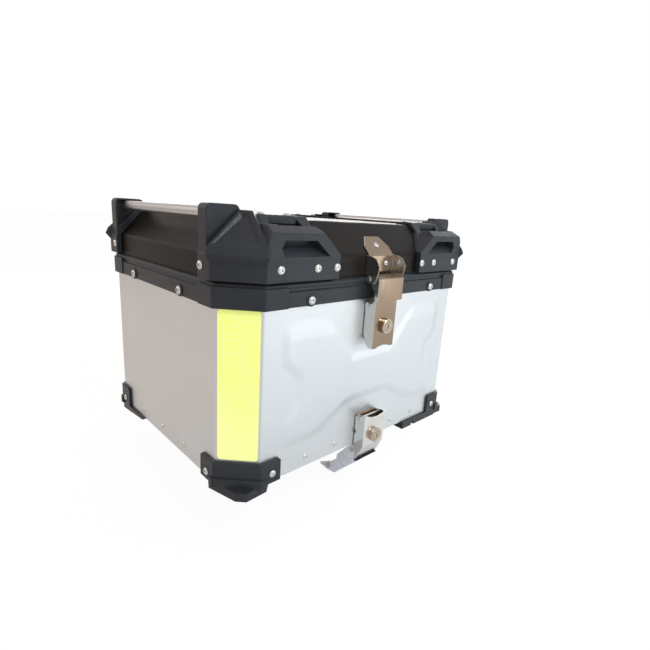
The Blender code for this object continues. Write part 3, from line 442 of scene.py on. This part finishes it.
# ------------------------------------------------------------------ pieces
def piece(name, shape, finish, slot, body, *stands_for):
    """A named piece from a bmesh in the frame's coordinates, riding on a body."""
    mesh = bpy.data.meshes.new(name)
    shape.to_mesh(mesh)
    shape.free()
    mesh.materials.append(finish)
    mesh.set_sharp_from_angle(angle=SHARP)
    item = bpy.data.objects.new(name, mesh)
    bpy.context.scene.collection.objects.link(item)
    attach(item, body)
    if stands_for:
        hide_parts(*stands_for)
    return item


def free_width(edge, corner, other):
    """How far an edge can be cut back at one end before it runs past a neighbouring edge."""
    own = (edge.other_vert(corner).co - corner.co).normalized()
    side = (other.other_vert(corner).co - corner.co).normalized()
    if own.dot(side) < IN_LINE:
        return BEVEL_SPAN
    return ROOM_ALONG * other.calc_length() * max(own.cross(side).length, LEAST_SPREAD)


def clearance(place, faces, own):
    """The least distance from a place to an edge of some faces that has none of its own corners."""
    nearest = 1.0
    for other in {other for face in faces for other in face.edges}:
        start, end = (corner.co for corner in other.verts)
        if not set(other.verts) & set(own):
            share = max(0.0, min(1.0, intersect_point_line(place, start, end)[1]))
            nearest = min(nearest, (start.lerp(end, share) - place).length)
    return nearest


def weigh_edges(shape, width, fold):
    """Bevel weights: fold on long upright folds, width on other edges, less inside or without room."""
    weights = shape.edges.layers.float.new("bevel_weight_edge")
    for edge in shape.edges:
        if len(edge.link_faces) != 2 or edge.calc_face_angle() < EDGE_ANGLE:
            continue
        run = edge.verts[1].co - edge.verts[0].co
        upright = abs(run.normalized().z) > UPRIGHT and run.length > LONG_FOLD
        room = [free_width(edge, corner, other) for corner in edge.verts
                for other in corner.link_edges if other is not edge]
        room += [ROOM_AT_CORNER * clearance(corner.co, corner.link_faces, [corner]) for corner in edge.verts]
        middle = (edge.verts[0].co + edge.verts[1].co) / 2
        room.append(ROOM_ACROSS * clearance(middle, edge.link_faces, edge.verts))
        wanted = (fold if upright else width) if edge.is_convex else INSIDE * width
        edge[weights] = min([wanted] + room) / BEVEL_SPAN


def merge_flats(shape):
    """Join the triangles of each flat face, leaving cuts at x = 0 and y = 0 so that no ring gets filled."""
    bmesh.ops.remove_doubles(shape, verts=shape.verts, dist=WELD)
    for across in ((1, 0, 0), (0, 1, 0)):
        cut = bmesh.ops.bisect_plane(shape, geom=[*shape.verts, *shape.edges, *shape.faces], dist=WELD,
                                     plane_co=(0, 0, 0), plane_no=across)
        for part in cut["geom_cut"]:
            if isinstance(part, bmesh.types.BMEdge):
                part.seam = True
    bmesh.ops.dissolve_limit(shape, angle_limit=FLAT, verts=shape.verts, edges=shape.edges,
                             delimit={"SEAM"})


def rounded(name, width, fold, finish=None, rework=None):
    """A copy of a CAD node with rounded edges and, through rework, finer detail."""
    node = NODES[name]
    shape = bmesh.new()
    shape.from_mesh(node.data)
    merge_flats(shape)
    if rework:
        rework(shape)
    weigh_edges(shape, width, fold)
    item = piece(f"{name}_rounded", shape, finish or FINISH[SLOTS[name]], SLOTS[name],
                 body_of(node)[0], name)
    edges = item.modifiers.new("edges", "BEVEL")
    edges.width, edges.segments, edges.limit_method = BEVEL_SPAN, 3, "WEIGHT"
    edges.use_clamp_overlap = False
    item.modifiers.new("shade", "WEIGHTED_NORMAL").keep_sharp = True
    return item


def refine(name, finish, width):
    """Deburr a CAD node's edges without touching its mesh, and give it its finish."""
    item = NODES[name]
    item.data.materials.clear()
    item.data.materials.append(finish)
    item.modifiers.new("weld", "WELD").merge_threshold = WELD
    merge = item.modifiers.new("merge", "DECIMATE")
    merge.decimate_type, merge.angle_limit = "DISSOLVE", FLAT
    if width:
        edges = item.modifiers.new("edges", "BEVEL")
        edges.width, edges.segments = width, 2
        edges.limit_method, edges.angle_limit = "ANGLE", DEBURR_ANGLE
        edges.use_clamp_overlap = False
        item.modifiers.new("shade", "WEIGHTED_NORMAL").keep_sharp = True


# ------------------------------------------------------------------ sheet case with its pressed X
def rounded_plan():
    """Points and outward normals round the case, its folds as arcs, with close steps along the front."""
    x, y = BODY_W / 2, BODY_D / 2
    corners = [(-x + CHAMFER, -y), (x - CHAMFER, -y), (x, -y + CHAMFER), (x, y - CHAMFER),
               (x - CHAMFER, y), (-x + CHAMFER, y), (-x, y - CHAMFER), (-x, -y + CHAMFER)]
    headings = [-3 * pi / 4 + i * pi / 4 for i in range(9)]       # outward headings before and after corners
    points = []
    for number, (cx, cy) in enumerate(corners):
        middle = headings[number] + pi / 8
        reach = FOLD_R / cos(pi / 8)
        centre = cx - reach * cos(middle), cy - reach * sin(middle)
        for step in range(FOLD_STEPS + 1):
            heading = headings[number] + pi / 4 * step / FOLD_STEPS
            normal = Vector((cos(heading), sin(heading), 0.0))
            points.append((Vector((*centre, 0.0)) + FOLD_R * normal, normal))
        if number == 0:
            end = x - CHAMFER - FOLD_R * tan(pi / 8)
            count = round(2 * end / PRESS_STEP)
            points += [(Vector((end * (2 * i / count - 1), -y, 0.0)), Vector((0.0, -1.0, 0.0)))
                       for i in range(1, count)]
    return points


def press_outline():
    """The pressed X with its arms running out at the top and its feet along the bottom."""
    return PRESS_HALF + [(-x, z) for x, z in reversed(PRESS_HALF)]


def edge_distance(outline, x, z):
    """Distance from a closed outline, above zero inside it."""
    nearest, inside = 1.0, False
    for (ax, az), (bx, bz) in zip(outline, outline[1:] + outline[:1]):
        dx, dz = bx - ax, bz - az
        along = max(0.0, min(1.0, ((x - ax) * dx + (z - az) * dz) / (dx * dx + dz * dz)))
        nearest = min(nearest, hypot(x - ax - along * dx, z - az - along * dz))
        if (az > z) != (bz > z) and x < ax + (z - az) * dx / dz:
            inside = not inside
    return nearest if inside else -nearest


def pressed(outline, point, normal, z):
    """How far the sheet stands out at a place on the front."""
    if normal.y > FRONT_FACING:
        return 0.0
    rise = max(0.0, min(1.0, edge_distance(outline, point.x, z) / PRESS_SLOPE + 0.5))
    fade = max(0.0, min(1.0, (PRESS_TOP - z) / PRESS_FADE))
    return PRESS * rise * fade


def pressed_case():
    outline = press_outline()
    plan = rounded_plan()
    rows = round(SHELL_TOP / PRESS_STEP)
    heights = [SHELL_TOP * i / rows for i in range(rows + 1)]
    shape = bmesh.new()
    walls = []
    for inward in (0.0, SHEET):
        walls.append([[shape.verts.new(point + normal * (pressed(outline, point, normal, z) - inward)
                                       + Vector((0.0, 0.0, z))) for point, normal in plan] for z in heights])
    outer, inner = walls
    count = len(plan)
    for wall, turned in ((outer, False), (inner, True)):
        for low, high in zip(wall, wall[1:]):
            for i in range(count):
                j = (i + 1) % count
                ring = (low[i], low[j], high[j], high[i])
                shape.faces.new(ring[::-1] if turned else ring)
    for i in range(count):
        j = (i + 1) % count
        shape.faces.new((outer[-1][i], outer[-1][j], inner[-1][j], inner[-1][i]))
        shape.faces.new((outer[0][j], outer[0][i], inner[0][i], inner[0][j]))
    piece("case_sheet", shape, FINISH["case_aluminium"], "case_aluminium", "case", "body_shell")


# ------------------------------------------------------------------ screws and rivets
def stud_shape(profile, sides=24):
    """A turned head along +Z: (height, radius, socket) rows, a socket row being six-sided."""
    shape = bmesh.new()
    rows = []
    for height, radius, socket in profile:
        ring = []
        for i in range(sides):
            angle = 2 * pi * i / sides
            reach = radius * cos(pi / 6) / cos(angle % (pi / 3) - pi / 6) if socket else radius
            ring.append(shape.verts.new((reach * cos(angle), reach * sin(angle), height)))
        rows.append(ring)
    for low, high in zip(rows, rows[1:]):
        for i in range(sides):
            j = (i + 1) % sides
            shape.faces.new((low[i], low[j], high[j], high[i]))
    shape.faces.new(rows[0][::-1])
    shape.faces.new(rows[-1])
    return shape


def button_head(radius, height, shank=0.0040):
    """A domed socket screw."""
    return [(-shank, 0.5 * radius, False), (0.0, 0.5 * radius, False), (0.0, 0.96 * radius, False),
            (0.20 * height, radius, False), (0.50 * height, 0.93 * radius, False),
            (0.80 * height, 0.78 * radius, False), (height, 0.56 * radius, False),
            (height, 0.44 * radius, True), (0.90 * height, 0.40 * radius, True),
            (0.25 * height, 0.39 * radius, True)]


def pop_rivet(radius, height):
    """A domed rivet with the pit its mandrel leaves."""
    return [(-0.0008, 0.6 * radius, False), (0.0, 0.6 * radius, False), (0.0, radius, False),
            (0.30 * height, radius, False), (0.70 * height, 0.80 * radius, False),
            (height, 0.48 * radius, False), (0.95 * height, 0.32 * radius, False),
            (0.45 * height, 0.26 * radius, False)]


def place_stud(name, profile, place, outward, body, slot="fastener_steel", *stands_for):
    shape = stud_shape(profile)
    turn = Vector(outward).to_track_quat("Z", "Y").to_matrix()
    bmesh.ops.rotate(shape, verts=shape.verts, matrix=turn)
    bmesh.ops.translate(shape, verts=shape.verts, vec=Vector(place))
    return piece(name, shape, FINISH[slot], slot, body, *stands_for)


def signs():
    for end_x in (-1, 1):
        for end_y in (-1, 1):
            yield end_x, end_y, f"{'front' if end_y < 0 else 'back'}_{'left' if end_x < 0 else 'right'}"


def rim_screws():
    for number in range(1, 9):
        low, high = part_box(f"rim_screw_{number}")
        middle = (low + high) / 2
        axis = 1 if high.y - low.y > high.x - low.x else 0
        outward = Vector((0.0, 0.0, 0.0))
        outward[axis] = 1.0 if middle[axis] > 0 else -1.0
        reach = max(abs(low[axis]), abs(high[axis])) - RIM_HEAD[1]
        place = Vector((0.0, 0.0, middle.z))
        place[axis], place[1 - axis] = outward[axis] * reach, middle[1 - axis]
        place_stud(f"rim_screw_{number}_head", button_head(*RIM_HEAD), place, outward, "case",
                   "fastener_steel", f"rim_screw_{number}")


def case_rivets():
    rivet = pop_rivet(RIVET_R, RIVET_H)
    for end, name in ((-1, "front"), (1, "back")):
        for number, x in enumerate(RIVET_X, 1):
            place_stud(f"rivet_{name}_{number}", rivet, (x, end * BODY_D / 2, RIVET_Z), (0, end, 0), "case")
    for end, name in ((-1, "left"), (1, "right")):
        for number, y in enumerate(RIVET_Y, 1):
            place_stud(f"rivet_{name}_{number}", rivet, (end * BODY_W / 2, y, RIVET_Z), (end, 0, 0), "case")


def guard_screws():
    head = button_head(*GUARD_HEAD)
    for end_x, end_y, name in signs():
        x, z = GUARD_SCREW_X
        place_stud(f"guard_screw_{name}", head, (end_x * x, end_y * (BODY_D / 2 + GUARD_OUT), z),
                   (0, end_y, 0), "case")
        y, z = GUARD_SCREW_Y
        place_stud(f"guard_screw_{name}_side", head, (end_x * (BODY_W / 2 + GUARD_OUT), end_y * y, z),
                   (end_x, 0, 0), "case")


def corner_screws():
    head = button_head(*CORNER_HEAD)
    for end_x, end_y, name in signs():
        for number, x in enumerate(CORNER_SCREW_X, 1):
            place = (end_x * x, end_y * CORNER_FACE, CORNER_SCREW_Z)
            place_stud(f"corner_screw_{name}_{number}", head, place, (0, end_y, 0), "lid")
        place = (end_x * CORNER_SIDE, end_y * CORNER_SCREW_Y, CORNER_SCREW_Z)
        place_stud(f"corner_screw_{name}_side", head, place, (end_x, 0, 0), "lid")
        for number, x in enumerate(TAB_SCREW_X, 1):
            place_stud(f"tab_screw_{name}_{number}", head, (end_x * x, end_y * TAB_SCREW_Y, TAB_TOP),
                       (0, 0, 1), "lid")


def latch_screws():
    """The screws that hold the latch's lid bracket: one on its flange, two between its ears."""
    head = button_head(*LATCH_HEAD)
    place_stud("bracket_screw_top", head, FLANGE_SCREW, FLANGE_OUT, "lid")
    for end, name in ((-1, "left"), (1, "right")):
        place_stud(f"bracket_screw_{name}", head, (end * EAR_SCREW_X, EAR_SCREW_Y, EAR_SCREW_Z),
                   (0, -1, 0), "lid")


# ------------------------------------------------------------------ carried-over and reworked nodes
def sunk_facet(end_x, end_y):
    """Rework for a lid corner: a three-sided recess in its sloping facet, shallow at its foot."""
    outward = Vector((end_x * FACET_OUT[0], end_y * FACET_OUT[1], FACET_OUT[2]))

    def facet(shape):
        shape.normal_update()
        sloping = [face for face in shape.faces if face.normal.dot(outward) > FACET_MATCH]
        return max(sloping, key=lambda face: face.calc_area())

    def rework(shape):
        panel = facet(shape)
        bmesh.ops.inset_region(shape, faces=[panel], thickness=FACET_RIM)
        bmesh.ops.remove_doubles(shape, verts=panel.verts, dist=FACET_MERGE)
        panel = facet(shape)
        bmesh.ops.inset_region(shape, faces=[panel], thickness=FACET_SIDE, depth=-FACET_DEPTH)
        foot = min(corner.co.z for corner in panel.verts)
        for corner in panel.verts:
            if corner.co.z < foot + FACET_FOOT:
                corner.co += FACET_FOOT_RISE * FACET_DEPTH * outward
    return rework


def reworked():
    """Nodes shown as rounded copies: mouldings, the lid and the latch's large plates."""
    for end_x, end_y, name in signs():
        rounded(f"lid_corner_{name}", 0.0010, 0.0016, rework=sunk_facet(end_x, end_y))
        rounded(f"foot_guard_{name}", 0.0009, 0.0012)
    rounded("rim_frame", 0.0004, 0.0016)
    rounded("lid_shell", 0.0022, 0.0016)
    rounded("latch_lever", DEBURR, BEND)
    rounded("latch_hasp", 2 * DEBURR, BEND)
    rounded("release_cover", DEBURR, BEND, PALE_STEEL)


def carried_over():
    widths = dict.fromkeys(("latch_steel", "claw_steel", "lock_chrome"), DEBURR)
    for name, node in NODES.items():
        if not node.hide_render:
            refine(name, FINISH[SLOTS[name]], widths.get(SLOTS[name], 0.0))


camera()
studio()
pressed_case()
rim_screws()
case_rivets()
guard_screws()
corner_screws()
latch_screws()
reworked()
carried_over()
